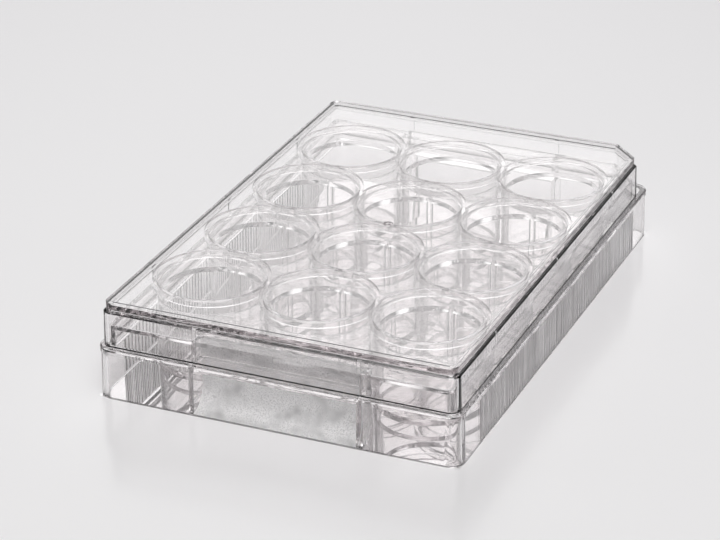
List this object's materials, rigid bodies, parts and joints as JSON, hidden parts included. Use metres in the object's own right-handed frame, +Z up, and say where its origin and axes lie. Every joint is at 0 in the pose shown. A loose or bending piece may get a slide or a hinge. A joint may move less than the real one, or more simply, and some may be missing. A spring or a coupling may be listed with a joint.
{
  "type": "well plate",
  "caption": "Clear rectangular multi-well culture plate with round wells and a lift-off lid with a stacking ridge and one cut corner.",
  "frame": {"origin": "centre of the rectangular footprint, on the surface the plate stands on", "axes": "+Z up, +Y along the long side towards the end with the lid's cut corner, +X along the short side, the cut corner on +X"},
  "size_m": [0.0854, 0.1278, 0.0226],
  "materials": {
    "plate": "clear, glossy, with a frosted panel",
    "lid": "clear, glossy"
  },
  "bodies": {
    "root": {"plate": "plate", "lid": "lid"}
  },
  "joints": []
}
